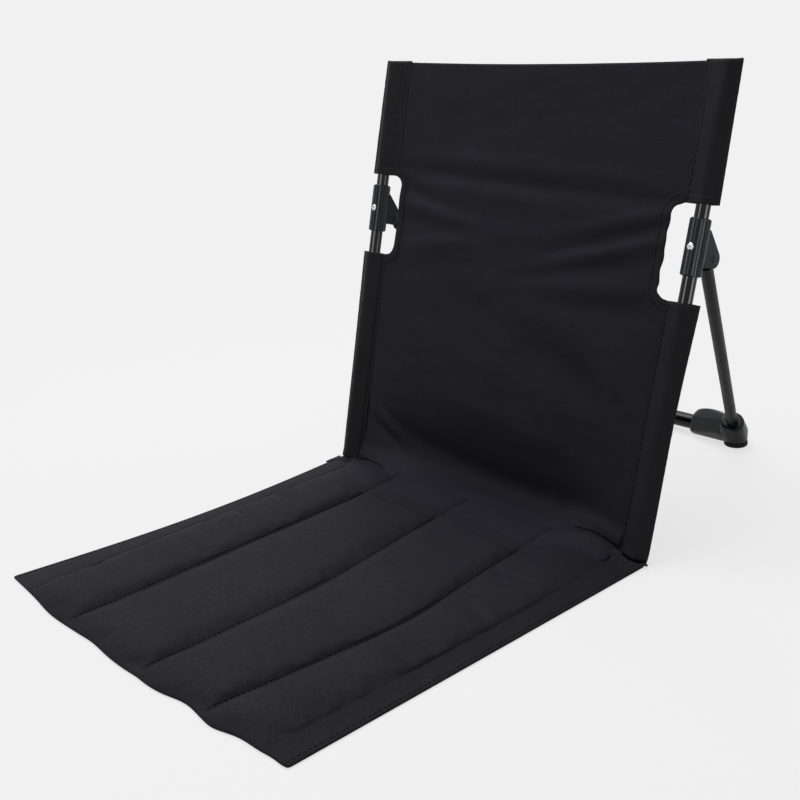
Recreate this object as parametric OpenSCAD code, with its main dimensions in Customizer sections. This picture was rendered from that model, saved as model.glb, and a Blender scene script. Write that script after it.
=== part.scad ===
// Legless folding beach chair: a padded seat mat that lies on the ground, a cloth back on two
// upright tubes, and a rear support frame hinged to a hub on each upright.
// X runs across the chair, the sitter faces -Y, +Z is up. All lengths are in millimetres.

/* [Back] */
// Length of the cloth back, up its slope
back_h = 414; // [360:1:460]
// Lean of the back behind the vertical, in degrees
recline = 14.5; // [10:0.5:20]
// Distance of each upright's axis, at its hub, inside the mat's edge
upright_inset = 6; // [4:0.5:10]
// How far each upright leans outwards towards its top, in degrees
upright_splay = 1.2; // [0:0.1:2]
// Outer diameter of an upright tube
upright_d = 12; // [10:0.5:14]
// Wall of an upright tube
upright_wall = 1; // [0.8:0.1:1.5]

/* [Sleeves and cloth] */
// Distance from an upright's axis to the seam on the inner side of its sleeve
sleeve_in = 18; // [15:0.5:24]
// Distance from an upright's axis to the sleeve's outer edge
sleeve_out = 15; // [12:0.5:20]
// The same distance at the lower sleeve's foot, where it meets the mat's corner
sleeve_out_low = 11; // [9:0.5:14]
// Thickness of one layer of cloth with its lining
cloth_t = 1; // [0.8:0.1:1.5]
// Half the thickness of a sleeve's sewn edge
edge_half = 1.1; // [0.8:0.1:1.6]
// Height of the notch's lower edge, up the slope
notch_low = 220; // [200:1:230]
// Height of the notch itself
notch_len = 80; // [76:1:100]
// How far the notch cuts into the panel, past the sleeve's seam
notch_in = 11; // [8:0.5:16]
// Width of the sewn hem round the notch
hem_w = 9; // [6:0.5:12]
// Thickness of the sewn hem
hem_t = 2; // [1.4:0.1:3]

/* [Hub] */
// Outer diameter of a hub's barrel
hub_d = 17.5; // [16:0.5:22]
// Length of a hub
hub_len = 47; // [42:1:56]
// Height of a hub's middle above the notch's middle
hub_rise = 5.5; // [0:0.5:8]
// Distance of the leg's pivot behind the upright's axis
pivot_back = 16; // [15:0.25:20]
// Distance of the leg's pivot below the hub's middle
pivot_drop = 7.5; // [5:0.5:10]
// Radius of the rounded ear round the pivot
ear_r = 7.5; // [7:0.25:9]
// Diameter of the pivot pin
pin_d = 5; // [4:0.25:6]

/* [Rear frame] */
// Lean of the legs from the vertical, in degrees
leg_lean = 42.5; // [38:0.5:48]
// Outer diameter of a leg tube
leg_d = 11; // [9:0.5:12]
// Wall of a leg tube
leg_wall = 0.9; // [0.7:0.1:1.2]
// Distance of a leg's lower end from the middle of the chair, at the crossbar's axis
leg_foot_x = 94; // [80:1:110]
// Outer diameter of the crossbar
bar_d = 16; // [14:0.5:18]
// Wall of the crossbar
bar_wall = 1; // [0.8:0.1:1.5]

/* [Feet] */
// Outer diameter of a foot's round body
foot_d = 23; // [21.5:0.5:26]
// Gap between a foot's round body and the ground
foot_lift = 1.3; // [0.5:0.1:3]
// Distance of a foot's inner end from the middle of the chair
foot_in_x = 47; // [40:1:52]
// Length of the foot's socket round the crossbar
socket_len = 15; // [12:1:18]
// Height of the foot's arched rear wall above the crossbar's axis
arch_h = 17; // [14:0.5:20]
// Height of the foot's front wall above the crossbar's axis
lip_h = 3; // [1:0.5:6]
// Height of the cup round the leg, above the crossbar's axis
cup_h = 24; // [20:0.5:28]
// Thickness of the rubber pad under a foot
pad_t = 5; // [4:0.5:6]

/* [Seat] */
// Half of the seat mat's width
seat_half = 196; // [180:1:215]
// Length of the seat mat at its sides, from the back's fold line
seat_len = 375; // [330:1:420]
// How much longer the mat is in its middle
seat_bow = 11; // [0:1:20]
// Width of the flat hem along each side of the mat
side_hem = 31; // [20:1:40]
// Distance of the outer channel seams from the middle
seam_x = 100; // [80:1:120]
// Height of a channel's crown
crown_h = 10; // [7:0.5:14]
// Height of the mat at its seams
seam_h = 2.6; // [2.2:0.1:4]
// How far a filled channel draws the front edge in
edge_pull = 7; // [0:0.5:10]

/* [Hidden] */
$fn = 48;

// Clearances: a fixed fit, a running fit, and the gap that soft pieces keep
fit_gap = 0.05;
run_gap = 0.05;
soft_gap = 0.3;
// Overrun of a cut past the face it opens
over = 1;

// Tubes, their plugs and where they end
upright_x = seat_half - upright_inset;
upright_r = upright_d / 2;
upright_bore = upright_r - upright_wall;
leg_r = leg_d / 2;
leg_bore = leg_r - leg_wall;
bar_r = bar_d / 2;
bar_bore = bar_r - bar_wall;
plug_head = 3;
plug_len = 12;
plug_edge = 0.8;
upright_low = 7.5;
upright_high = back_h - cloth_t - fit_gap - plug_head;

// The sleeve is a flat pocket with the tube lying loose in it
sleeve_low = 2.2;
sleeve_r = upright_r + fit_gap + cloth_t;
sleeve_seam_w = 3;
pocket_steps = 6;
function seam_at(s) = upright_x - sleeve_in / cos(upright_splay) + (s - hub_mid) * tan(upright_splay);

// The notch: quarter rounds join its upright edge to its level edges
notch_high = notch_low + notch_len;
notch_rows = 4;
notch_mid_rows = 4;
hem_r = notch_in + hem_w;

// The panel's grid and its folds. A fold is its middle across and up the panel, its half length
// and half width, its turn in degrees, and its depth, all but the turn as shares of a size.
panel_cols = 20;
panel_low_rows = 11;
low_row_share = 1.6;
panel_top_rows = 5;
panel_sag = 1.5;
panel_high = back_h - panel_sag;
fold_depth = 9;
fold_shares = [
  [0.02, 0.088, 0.56, 0.07, -6, 2.3],
  [0.05, 0.215, 1.60, 0.06, -7.5, -0.36],
  [0.00, 0.725, 1.20, 0.025, -1, 0.3],
  [0.72, 0.64, 0.42, 0.022, 15, -0.34],
  [0.66, 0.575, 0.50, 0.024, 9, 0.3],
  [-0.70, 0.66, 0.35, 0.03, -8, 0.25],
  [0.35, 0.42, 0.60, 0.06, -16, -0.3],
  [0.30, 0.30, 0.55, 0.04, -18, 0.22]
];

// Below, the panel reaches forward to the mat's rear edge, over the height fold_run
fold_reach = 8.6;
fold_run = 14;
foot_depth = fold_reach + cloth_t / 2;
panel_low = (seam_h - foot_depth * sin(recline)) / cos(recline);

// The pivot, in the back's own frame and in the chair's
hub_mid = notch_low + notch_len / 2 + hub_rise;
pivot_up = hub_mid - pivot_drop;
pivot_y = pivot_back * cos(recline) + pivot_up * sin(recline);
pivot_z = pivot_up * cos(recline) - pivot_back * sin(recline);
hub_r = hub_d / 2;
hub_low = hub_mid - hub_len / 2;
hub_high = hub_mid + hub_len / 2;
hub_chamfer = 1.2;
flute_r = 5;
flute_deep = 0.7;
flute_front = 7;
flute_turn = 30;
ear_proud = 0.5;
ear_half = hub_r + ear_proud;
ear_rise = 15;
ear_top = hub_mid + ear_rise;
ear_root = 4;
ear_floor = pivot_up - ear_r;
pin_r = pin_d / 2;
pin_head_r = 4;
pin_head_t = 1.2;
rivet_r = 1.6;
rivet_head_r = 3.1;
rivet_head_t = 1;
rivet_eye_r = 0.9;
rivet_seat = 0.9;
rivet_tail = 1.6;

// The moulded eye on a leg's upper end
eye_r = 5.5;
eye_half = 5.4;
eye_gap = 0.3;
eye_neck_r = 4.4;
eye_collar = 10.6;
eye_collar_t = 1.6;
eye_plug = 20;
eye_rivet_at = 12;
fold_range = leg_lean + recline;

// A leg runs down and inwards from its pivot to the crossbar's axis
bar_z = foot_d / 2 + foot_lift;
frame_drop = (pivot_z - bar_z) / cos(leg_lean);
leg_in = upright_x - leg_foot_x;
leg_splay = atan(leg_in / frame_drop);
leg_len = frame_drop / cos(leg_splay);
leg_top = eye_collar + eye_collar_t + fit_gap;
leg_short = 3;
leg_end = leg_len - leg_short;
bar_y = pivot_y + frame_drop * sin(leg_lean);

// The foot: a round body open above, with a cup round the leg
foot_r = foot_d / 2;
foot_wall = 3.4;
foot_chamfer = 1;
cup_r = 11;
cup_open_r = 7.6;
cup_open_low = 9;
arch_r = 34;
arch_out = 24;
arch_x = foot_in_x + arch_out;
trough_in = 2;
trough_len = leg_foot_x - cup_r - foot_in_x - socket_len - trough_in;
scoop_r = 7;
scoop_up = 15;
foot_rivet_up = 5;
pad_r = 12;
pad_out = 4;
pad_x = leg_foot_x + pad_out;
pad_fore = 2;
pad_y = bar_y - pad_fore;
pad_spigot_r = 4;
pad_spigot_h = 3;
pad_round = 1.2;
boss_r = 11;

// The seat mat: seams, its hinge, its grid and its foam strips
seat_rear = foot_depth * cos(recline) - panel_low * sin(recline) + soft_gap;
hem_seam_x = seat_half - side_hem;
seam_places = [-hem_seam_x, -seam_x, 0, seam_x, hem_seam_x];
channel_cols = 8;
seat_rows = 15;
rear_run = 26;
front_run = 30;
crown_share = 0.62;
foam_end_rows = 2;

// The origin lies below the middle of the chair's box
front_y = -seat_len - seat_bow;
rear_y = bar_y + foot_r;
middle_y = (front_y + rear_y) / 2;

// Moves a piece from the fold line's frame to the chair's
module placed() translate([0, -middle_y, 0]) children();

// The back's frame: Y is the depth behind the back's plane, Z runs up its slope
module in_back() placed() rotate([-recline, 0, 0]) children();

// The rear frame's own frame: its origin is on the pivots' axis, and -Z runs down to the crossbar
module in_frame() placed() translate([0, pivot_y, pivot_z]) rotate([leg_lean, 0, 0]) children();

// Turns what lies round an upright's axis with that upright, about the hub's middle
module leaning() translate([0, 0, hub_mid]) rotate([0, upright_splay, 0])
  translate([0, 0, -hub_mid]) children();

// The back's frame for a piece that leans with the upright on that side
module in_upright(side) in_back() on_side(side) translate([upright_x, 0, 0]) leaning()
  translate([-upright_x, 0, 0]) children();

// Mirrors a right-hand piece to the left for side = -1
module on_side(side) mirror([side < 0 ? 1 : 0, 0, 0]) children();

// The right leg's frame: -Z runs down the leg from the pivot
module in_leg() translate([upright_x, 0, 0]) rotate([0, leg_splay, 0]) children();

// A tube from low to high
module tube(r, bore, low, high) translate([0, 0, low]) difference() {
  cylinder(r = r, h = high - low);
  translate([0, 0, -over]) cylinder(r = bore, h = high - low + 2 * over);
}

// A solid between two grids of points. Rows run up or back, columns run to the right.
module sheet_solid(face, under) {
  rows = len(face);
  cols = len(face[0]);
  count = rows * cols;
  faces = [
    for (i = [0:rows - 2], j = [0:cols - 2]) let (a = i * cols + j, b = a + cols)
      each [[a, b, b + 1], [a, b + 1, a + 1],
        [count + a, count + b + 1, count + b], [count + a, count + a + 1, count + b + 1]],
    for (j = [0:cols - 2]) let (t = (rows - 1) * cols + j)
      each [[j, j + 1, count + j + 1], [j, count + j + 1, count + j],
        [t + 1, t, count + t], [t + 1, count + t, count + t + 1]],
    for (i = [0:rows - 2]) let (a = i * cols, b = a + cols, c = a + cols - 1, d = c + cols)
      each [[b, a, count + a], [b, count + a, count + b],
        [c, d, count + d], [c, count + d, count + c]]
  ];
  polyhedron([each [for (row = face) each row], each [for (row = under) each row]], faces);
}

// The turn from +X at which the line from p touches a circle of radius r about the origin
function turn_to(p, r, side) = atan2(p[1], p[0]) + side * acos(r / norm(p));

// Upper half of a flat pocket round a tube: straight walls lead into a round over the tube, which
// starts where the wall of a pocket as wide as near touches it
function pocket_top(r, inner, outer, near, half) = let (
    a = turn_to([near, half], r, 1), b = turn_to([-inner, half], r, -1), n = pocket_steps,
    out = r / cos((b - a) / n / 2))
  [[outer, half], for (i = [0:n]) out * [cos(a + (b - a) * i / n), sin(a + (b - a) * i / n)],
    [-inner, half]];
function pocket_ring(r, inner, outer, near, half, z) = let (
    top = pocket_top(r, inner, outer, near, half))
  [for (p = top) [p[0], p[1], z], for (i = [len(top) - 1:-1:0]) [top[i][0], -top[i][1], z]];

// A solid whose skin runs through rings of equal length, from its first ring to its last
module ringed(rings) {
  n = len(rings[0]);
  last = (len(rings) - 1) * n;
  faces = [
    [for (j = [0:n - 1]) j],
    [for (j = [n - 1:-1:0]) last + j],
    for (i = [0:len(rings) - 2], j = [0:n - 1]) let (a = i * n + j, b = i * n + (j + 1) % n)
      each [[a, a + n, b + n], [a, b + n, b]]
  ];
  polyhedron([each [for (ring = rings) each ring]], faces);
}

// A cloth sleeve for the right upright, sewn shut at z = 0 and open at its other end. Its skin
// runs up the outside and down the inside.
module sleeve(length, out_shut, out_open) {
  near = min(out_shut, out_open);
  ringed([
    pocket_ring(sleeve_r, sleeve_in, out_shut, near, edge_half, 0),
    pocket_ring(sleeve_r, sleeve_in, out_open, near, edge_half, length),
    room_ring(out_open, near, length),
    room_ring(out_shut, near, cloth_t)
  ]);
}
function room_ring(outer, near, z) = pocket_ring(sleeve_r - cloth_t, sleeve_in - sleeve_seam_w,
  outer - sleeve_seam_w, near - sleeve_seam_w, edge_half - cloth_t, z);
module upper_sleeve() translate([upright_x, 0, back_h]) mirror([0, 0, 1])
  sleeve(back_h - notch_high, sleeve_out, sleeve_out);
module lower_sleeve() translate([upright_x, 0, sleeve_low])
  sleeve(notch_low - sleeve_low, sleeve_out_low, sleeve_out);

// Depth of the cloth behind the back's plane, at x across and s up
function fold(x, s, f) = let (
    half = seam_at(hub_mid), dx = x - f[0] * half, ds = s - f[1] * back_h,
    u = (dx * cos(f[4]) + ds * sin(f[4])) / (f[2] * half),
    v = (ds * cos(f[4]) - dx * sin(f[4])) / (f[3] * back_h))
  f[5] * fold_depth * exp(-u * u - v * v);
function edge_fade(x, s) = 1 - pow(min(1, abs(x) / seam_at(s)), 4);
function foot_share(s) = pow(max(0, 1 - (s - panel_low) / fold_run), 2);
function panel_depth(x, s) = (1 - foot_share(s)) * edge_fade(x, s)
  * total([for (f = fold_shares) fold(x, s, f)])
  - fold_reach * foot_share(s) * (1 - pow(min(1, abs(x) / seam_at(s)), 8));
function total(list, i = 0) = i < len(list) ? list[i] + total(list, i + 1) : 0;

// Heights of the panel's rows, with rows at the notch's rounded corners
corner_low = notch_low + notch_in;
corner_high = notch_high - notch_in;
low_span = notch_low - hem_w - panel_low;
top_span = panel_high - notch_high - hem_w;
panel_rows = [
  for (i = [0:panel_low_rows - 1]) panel_low + low_span * pow(i / panel_low_rows, low_row_share),
  for (i = [0:notch_rows - 1]) corner_low - hem_r * cos(90 * i / notch_rows),
  for (i = [0:notch_mid_rows]) corner_low + (corner_high - corner_low) * i / notch_mid_rows,
  for (i = [1:notch_rows]) corner_high + hem_r * sin(90 * i / notch_rows),
  for (i = [1:panel_top_rows]) notch_high + hem_w + top_span * i / panel_top_rows
];
function corner_off(s) = s < corner_low ? corner_low - s : s > corner_high ? s - corner_high : 0;
function panel_edge(s) = corner_off(s) >= hem_r ? seam_at(s)
  : seam_at(s) - sqrt(hem_r * hem_r - pow(corner_off(s), 2));

module back_panel_cloth() {
  rows = [for (s = panel_rows) [for (j = [0:panel_cols])
    let (x = panel_edge(s) * (2 * j / panel_cols - 1)) [x, panel_depth(x, s), s]]];
  half = [0, cloth_t / 2, 0];
  sheet_solid([for (r = rows) [for (p = r) p - half]], [for (r = rows) [for (p = r) p + half]]);
}

// The hem follows the notch from its lower to its upper end, on the right
module notch_hem() {
  places = [
    for (i = [0:notch_rows - 1]) let (a = 90 * i / notch_rows) [corner_low, -cos(a), -sin(a)],
    for (i = [0:notch_mid_rows])
      [corner_low + (corner_high - corner_low) * i / notch_mid_rows, 0, -1],
    for (i = [1:notch_rows]) let (a = 90 * i / notch_rows) [corner_high, sin(a), -cos(a)]
  ];
  rows = [for (p = places) [for (r = [hem_r, notch_in])
    let (s = p[0] + r * p[1], x = seam_at(s) + r * p[2]) [x, panel_depth(x, s), s]]];
  half = [0, hem_t / 2, 0];
  sheet_solid([for (r = rows) [for (p = r) p - half]], [for (r = rows) [for (p = r) p + half]]);
}

// A plug in a tube's end, its head down at z = 0
module tube_plug(r, bore, head) {
  rotate_extrude() polygon([[0, -head], [r - plug_edge, -head], [r, plug_edge - head], [r, 0],
    [bore - fit_gap, 0], [bore - fit_gap, plug_len], [0, plug_len]]);
}

// Outline of the hub's ear, in the plane of depth and height
module ear_outline() {
  turn = turn_to([ear_root - pivot_back, ear_top - pivot_up], ear_r, -1);
  translate([pivot_back, pivot_up]) circle(r = ear_r);
  polygon([[0, ear_floor], [0, ear_top], [ear_root, ear_top],
    [pivot_back + ear_r * cos(turn), pivot_up + ear_r * sin(turn)], [pivot_back, pivot_up],
    [pivot_back, ear_floor]]);
}

// The room that the leg's eye and neck need while the leg folds
module eye_room() {
  reach = 2 * ear_r;
  high = eye_neck_r + run_gap;
  room_r = eye_r + eye_gap;
  along = [sin(fold_range), -cos(fold_range)];
  across = [cos(fold_range), sin(fold_range)];
  translate([pivot_back, pivot_up]) {
    circle(r = room_r);
    polygon([across * high, across * high + along * 2 * reach, [reach, -2 * reach],
      [-room_r, -2 * reach], [-room_r, 0], [0, 0]]);
  }
}

// Turns an outline of depth and height into a slab across X, half thick each side of x = 0
module across_x(half) translate([-half, 0, 0]) rotate([90, 0, 90]) linear_extrude(2 * half) children();

module hub() translate([upright_x, 0, 0]) difference() {
  union() {
    leaning() translate([0, 0, hub_low]) rotate_extrude() polygon([[0, 0], [hub_r - hub_chamfer, 0],
      [hub_r, hub_chamfer], [hub_r, hub_len - hub_chamfer], [hub_r - hub_chamfer, hub_len], [0, hub_len]]);
    across_x(ear_half) ear_outline();
  }
  across_x(eye_half + eye_gap) difference() {
    eye_room();
    translate([-ear_root, 0]) square([hub_r + ear_root, hub_high]);
  }
  leaning() {
    translate([0, 0, hub_low - over]) cylinder(r = upright_r + fit_gap, h = hub_len + 2 * over);
    for (i = [0:flute_front - 1]) rotate([0, 0, (i - (flute_front - 1) / 2) * flute_turn])
      translate([0, -hub_r - flute_r + flute_deep, hub_low - over])
        cylinder(r = flute_r, h = hub_len + 2 * over);
  }
  translate([-ear_half - over, pivot_back, pivot_up]) rotate([0, 90, 0])
    cylinder(r = pin_r + fit_gap, h = 2 * (ear_half + over));
  translate([0, rivet_seat - hub_r, hub_mid]) rotate([90, 0, 0])
    cylinder(r = rivet_head_r + fit_gap, h = 2 * over);
  translate([0, 0, hub_mid]) rotate([90, 0, 0]) cylinder(r = rivet_r + fit_gap, h = hub_r + over);
}

// A hollow rivet with its head's under face at z = 0 and its shank along -Z
module hollow_rivet(grip) difference() {
  union() {
    rotate_extrude() polygon([[0, 0], [rivet_head_r, 0], [rivet_head_r, rivet_head_t / 3],
      [rivet_head_r * 2 / 3, rivet_head_t], [0, rivet_head_t]]);
    translate([0, 0, -grip]) cylinder(r = rivet_r, h = grip);
    translate([0, 0, -grip - rivet_tail]) cylinder(r = rivet_r + fit_gap, h = rivet_tail);
  }
  translate([0, 0, -grip / 2]) cylinder(r = rivet_eye_r, h = grip);
}

module upright_tube() translate([upright_x, 0, 0]) difference() {
  tube(upright_r, upright_bore, upright_low, upright_high);
  translate([0, 0, hub_mid]) rotate([90, 0, 0])
    cylinder(r = rivet_r + 2 * fit_gap, h = upright_r + over);
}

module pivot_pin() translate([upright_x, pivot_back, pivot_up]) rotate([0, 90, 0]) {
  cylinder(r = pin_r, h = 2 * ear_half, center = true);
  for (end = [-1, 1]) translate([0, 0, end * (ear_half + pin_head_t / 2)])
    cylinder(r1 = end > 0 ? pin_head_r : pin_r, r2 = end > 0 ? pin_r : pin_head_r,
      h = pin_head_t, center = true);
}

// The eye on the right leg: a lug round the pin, a neck, a collar and a plug in the tube
module leg_eye() difference() {
  union() {
    translate([upright_x - eye_half, 0, 0]) rotate([0, 90, 0]) cylinder(r = eye_r, h = 2 * eye_half);
    intersection() {
      in_leg() translate([0, 0, -eye_collar]) cylinder(r = eye_neck_r, h = eye_collar);
      translate([upright_x - eye_half, -leg_d, -leg_len]) cube([2 * eye_half, 2 * leg_d, leg_len]);
    }
    in_leg() translate([0, 0, -eye_collar - eye_collar_t]) cylinder(r = leg_r, h = eye_collar_t);
    in_leg() translate([0, 0, -leg_top - eye_plug])
      cylinder(r = leg_bore - fit_gap, h = eye_plug + leg_top - eye_collar);
  }
  translate([upright_x - 2 * eye_half, 0, 0]) rotate([0, 90, 0])
    cylinder(r = pin_r + run_gap, h = 4 * eye_half);
  in_leg() translate([0, 0, -leg_top - eye_rivet_at]) rotate([-90, 0, 0])
    cylinder(r = rivet_r + fit_gap, h = leg_d);
}

module leg_tube() in_leg() difference() {
  tube(leg_r, leg_bore, -leg_end, -leg_top);
  translate([0, 0, -leg_top - eye_rivet_at]) rotate([-90, 0, 0])
    cylinder(r = rivet_r + fit_gap, h = leg_d);
  translate([0, 0, foot_rivet_up - leg_len]) rotate([-90, 0, 0])
    cylinder(r = rivet_r + fit_gap, h = leg_d);
}

// A small solid rivet from the rear, from depth low to depth high
module small_rivet(low, high) rotate([-90, 0, 0]) translate([0, 0, low]) {
  cylinder(r = rivet_r, h = high - low);
  translate([0, 0, high - low]) cylinder(r1 = rivet_head_r, r2 = rivet_r, h = rivet_head_t);
}

// Side view of a foot: the arch of its rear wall runs down into the cup
module foot_side() {
  translate([0, -foot_r]) square([leg_foot_x + foot_r, foot_r]);
  intersection() {
    translate([arch_x, arch_h - arch_r]) circle(r = arch_r, $fn = 96);
    square([leg_foot_x, arch_h]);
  }
}

// Right foot, about the crossbar's axis along X
module foot() difference() {
  union() {
    translate([foot_in_x, 0, 0]) rotate([0, 90, 0]) rotate_extrude()
      polygon([[0, 0], [foot_r - foot_chamfer, 0], [foot_r, foot_chamfer],
        [foot_r, leg_foot_x - foot_in_x], [0, leg_foot_x - foot_in_x]]);
    intersection() {
      translate([foot_in_x + foot_chamfer, -foot_r, 0])
        cube([leg_foot_x - foot_in_x - foot_chamfer, foot_d, arch_h]);
      translate([0, foot_r, 0]) rotate([90, 0, 0]) linear_extrude(foot_d) foot_side();
    }
    translate([leg_foot_x, 0, 0]) sphere(r = foot_r);
    translate([leg_foot_x, 0, 0]) rotate([0, leg_splay, 0]) cylinder(r = cup_r, h = cup_h);
    rotate([-leg_lean, 0, 0]) translate([pad_x, pad_y - bar_y, pad_t - bar_z])
      cylinder(r = boss_r, h = bar_z);
  }
  // Socket for the crossbar, then the open trough
  translate([foot_in_x - over, 0, 0]) rotate([0, 90, 0]) cylinder(r = bar_r + fit_gap, h = socket_len + over);
  translate([foot_in_x + socket_len + trough_in, 0, 0]) {
    rotate([0, 90, 0]) cylinder(r = foot_r - foot_wall, h = trough_len);
    translate([0, foot_wall - foot_r, 0]) cube([trough_len, foot_d - 2 * foot_wall, arch_h + over]);
  }
  // The front wall is lower than the rear one
  translate([foot_in_x - over, -foot_r - over, lip_h])
    cube([leg_foot_x - foot_in_x - cup_r + foot_wall, foot_r + over, arch_h]);
  // The leg's bore, the wider opening above it and the scoop in the cup's front
  translate([leg_foot_x, 0, 0]) rotate([0, leg_splay, 0]) {
    translate([0, 0, leg_len - leg_end - fit_gap]) cylinder(r = leg_r + fit_gap, h = cup_h + over);
    translate([0, 0, cup_open_low]) cylinder(r = cup_open_r, h = cup_h + over);
    translate([0, 0, scoop_up]) rotate([90, 0, 0]) cylinder(r = scoop_r, h = foot_r + over);
    translate([-scoop_r, -foot_r - over, scoop_up]) cube([2 * scoop_r, foot_r + over, cup_h]);
  }
  // Seat of the rubber pad and its spigot's hole
  rotate([-leg_lean, 0, 0]) translate([pad_x, pad_y - bar_y, -bar_z]) {
    translate([-pad_r - fit_gap, -foot_d, -over]) cube([2 * foot_d, 2 * foot_d, pad_t + over]);
    cylinder(r = pad_spigot_r + fit_gap, h = pad_t + pad_spigot_h + fit_gap);
  }
  // Holes for the rivets
  translate([leg_foot_x, 0, 0]) rotate([0, leg_splay, 0]) translate([0, 0, foot_rivet_up])
    rotate([-90, 0, 0]) cylinder(r = rivet_r + fit_gap, h = foot_d);
  translate([foot_in_x + socket_len / 2, 0, 0]) rotate([-90, 0, 0])
    cylinder(r = rivet_r + fit_gap, h = foot_d);
}

// Rubber pad that the right foot stands on, in the fold line's frame
module foot_pad() translate([pad_x, pad_y, 0]) {
  rotate_extrude() polygon([[0, 0], [pad_r - pad_round, 0], [pad_r, pad_round], [pad_r, pad_t], [0, pad_t]]);
  cylinder(r = pad_spigot_r, h = pad_t + pad_spigot_h);
}

module at_bar() in_frame() translate([0, 0, -frame_drop]) children();

module bar_tube() rotate([0, 90, 0]) difference() {
  tube(bar_r, bar_bore, -foot_in_x - socket_len + fit_gap, foot_in_x + socket_len - fit_gap);
  for (side = [-1, 1]) translate([0, 0, side * (foot_in_x + socket_len / 2)]) rotate([-90, 0, 0])
    cylinder(r = rivet_r + fit_gap, h = bar_d);
}

// Share of the crown at x, between the seams on its two sides
function channel(x) = [for (i = [0:len(seam_places) - 2])
  if (x >= seam_places[i] && x < seam_places[i + 1])
    (x - seam_places[i]) / (seam_places[i + 1] - seam_places[i])];
function puff(x) = len(channel(x)) > 0 ? let (u = channel(x)[0]) pow(4 * u * (1 - u), crown_share) : 0;
function run_in(d, run) = sin(90 * min(1, max(0, d) / run));
function seat_front(x) = -seat_len - seat_bow * (1 - pow(x / seat_half, 2)) + edge_pull * puff(x);
function seat_top(x, y) = seam_h + (crown_h - seam_h) * puff(x)
  * run_in(y - seat_front(x), front_run) * run_in(-seat_rear - y, rear_run);

seat_cols = [-seat_half, (-seat_half - hem_seam_x) / 2,
  for (k = [0:len(seam_places) - 2], i = [0:channel_cols - 1])
    seam_places[k] + (seam_places[k + 1] - seam_places[k]) * i / channel_cols,
  hem_seam_x, (seat_half + hem_seam_x) / 2, seat_half];

// Rows of the mat's upper face, closer together at its front and rear edges
function mat_point(x, i) = let (y = seat_front(x) + (-seat_rear - seat_front(x))
  * (1 - cos(180 * i / seat_rows)) / 2) [x, y, seat_top(x, y)];

module seat_top_sheet() {
  face = [for (i = [0:seat_rows]) [for (x = seat_cols) mat_point(x, i)]];
  sheet_solid(face, [for (r = face) [for (p = r) p - [0, 0, cloth_t]]]);
}

module seat_bottom_sheet() linear_extrude(seam_h - cloth_t) polygon([
  for (x = seat_cols) [x, seat_front(x)], [seat_half, -seat_rear], [-seat_half, -seat_rear]]);

// Foam strip in channel k, under the same grid as the cloth that covers it
module foam_strip(k) {
  a = seam_places[k];
  step = (seam_places[k + 1] - a) / channel_cols;
  face = [for (i = [foam_end_rows:seat_rows - foam_end_rows]) [for (j = [1:channel_cols - 1])
    mat_point(a + step * j, i) - [0, 0, cloth_t + soft_gap]]];
  sheet_solid(face, [for (r = face) [for (p = r) [p[0], p[1], seam_h - cloth_t]]]);
}

module left_upright() color("#17181a") in_upright(-1) upright_tube();
module right_upright() color("#17181a") in_upright(1) upright_tube();
module upright_top_caps() color("#202123") for (side = [-1, 1]) in_upright(side)
  translate([upright_x, 0, upright_high]) mirror([0, 0, 1]) tube_plug(upright_r, upright_bore, plug_head);
module upright_bottom_caps() color("#202123") for (side = [-1, 1]) in_upright(side)
  translate([upright_x, 0, upright_low]) tube_plug(upright_r, upright_bore, plug_head);
module left_hub() color("#3d4247") in_back() on_side(-1) hub();
module right_hub() color("#3d4247") in_back() hub();
module hub_rivets() color("#d8d9da") in_back() for (side = [-1, 1]) on_side(side)
  translate([upright_x, rivet_seat - hub_r, hub_mid]) rotate([90, 0, 0])
    hollow_rivet(hub_r - rivet_seat - upright_bore);
module left_pivot_pin() color("#2a2b2d") in_back() on_side(-1) pivot_pin();
module right_pivot_pin() color("#2a2b2d") in_back() pivot_pin();
module back_panel() color("#222329") in_back() back_panel_cloth();
module left_upper_sleeve() color("#1e1f22") in_upright(-1) upper_sleeve();
module right_upper_sleeve() color("#1e1f22") in_upright(1) upper_sleeve();
module left_lower_sleeve() color("#1e1f22") in_upright(-1) lower_sleeve();
module right_lower_sleeve() color("#1e1f22") in_upright(1) lower_sleeve();
module left_notch_hem() color("#26272b") in_back() mirror([1, 0, 0]) notch_hem();
module right_notch_hem() color("#26272b") in_back() notch_hem();
module left_leg() color("#2b2d2d") in_frame() on_side(-1) leg_tube();
module right_leg() color("#2b2d2d") in_frame() leg_tube();
module left_leg_eye() color("#26282a") in_frame() on_side(-1) leg_eye();
module right_leg_eye() color("#26282a") in_frame() leg_eye();
module eye_rivets() color("#2a2b2d") in_frame() for (side = [-1, 1]) on_side(side)
  in_leg() translate([0, 0, -leg_top - eye_rivet_at]) small_rivet(0, leg_r);
module crossbar() color("#17181a") at_bar() bar_tube();
module left_foot() color("#2c2f35") at_bar() on_side(-1) foot();
module right_foot() color("#2c2f35") at_bar() foot();
module left_foot_pad() color("#3a3b3e") placed() on_side(-1) foot_pad();
module right_foot_pad() color("#3a3b3e") placed() foot_pad();
module foot_rivets() color("#2a2b2d") at_bar() for (side = [-1, 1]) on_side(side) {
  translate([leg_foot_x, 0, 0]) rotate([0, leg_splay, 0]) translate([0, 0, foot_rivet_up])
    small_rivet(leg_bore, foot_r);
  translate([foot_in_x + socket_len / 2, 0, 0]) small_rivet(bar_bore, foot_r);
}
module seat_top_cloth() color("#25262b") placed() seat_top_sheet();
module seat_bottom_cloth() color("#1d1e21") placed() seat_bottom_sheet();
module left_outer_foam() color("#8f9092") placed() foam_strip(0);
module left_inner_foam() color("#8f9092") placed() foam_strip(1);
module right_inner_foam() color("#8f9092") placed() foam_strip(2);
module right_outer_foam() color("#8f9092") placed() foam_strip(3);

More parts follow.
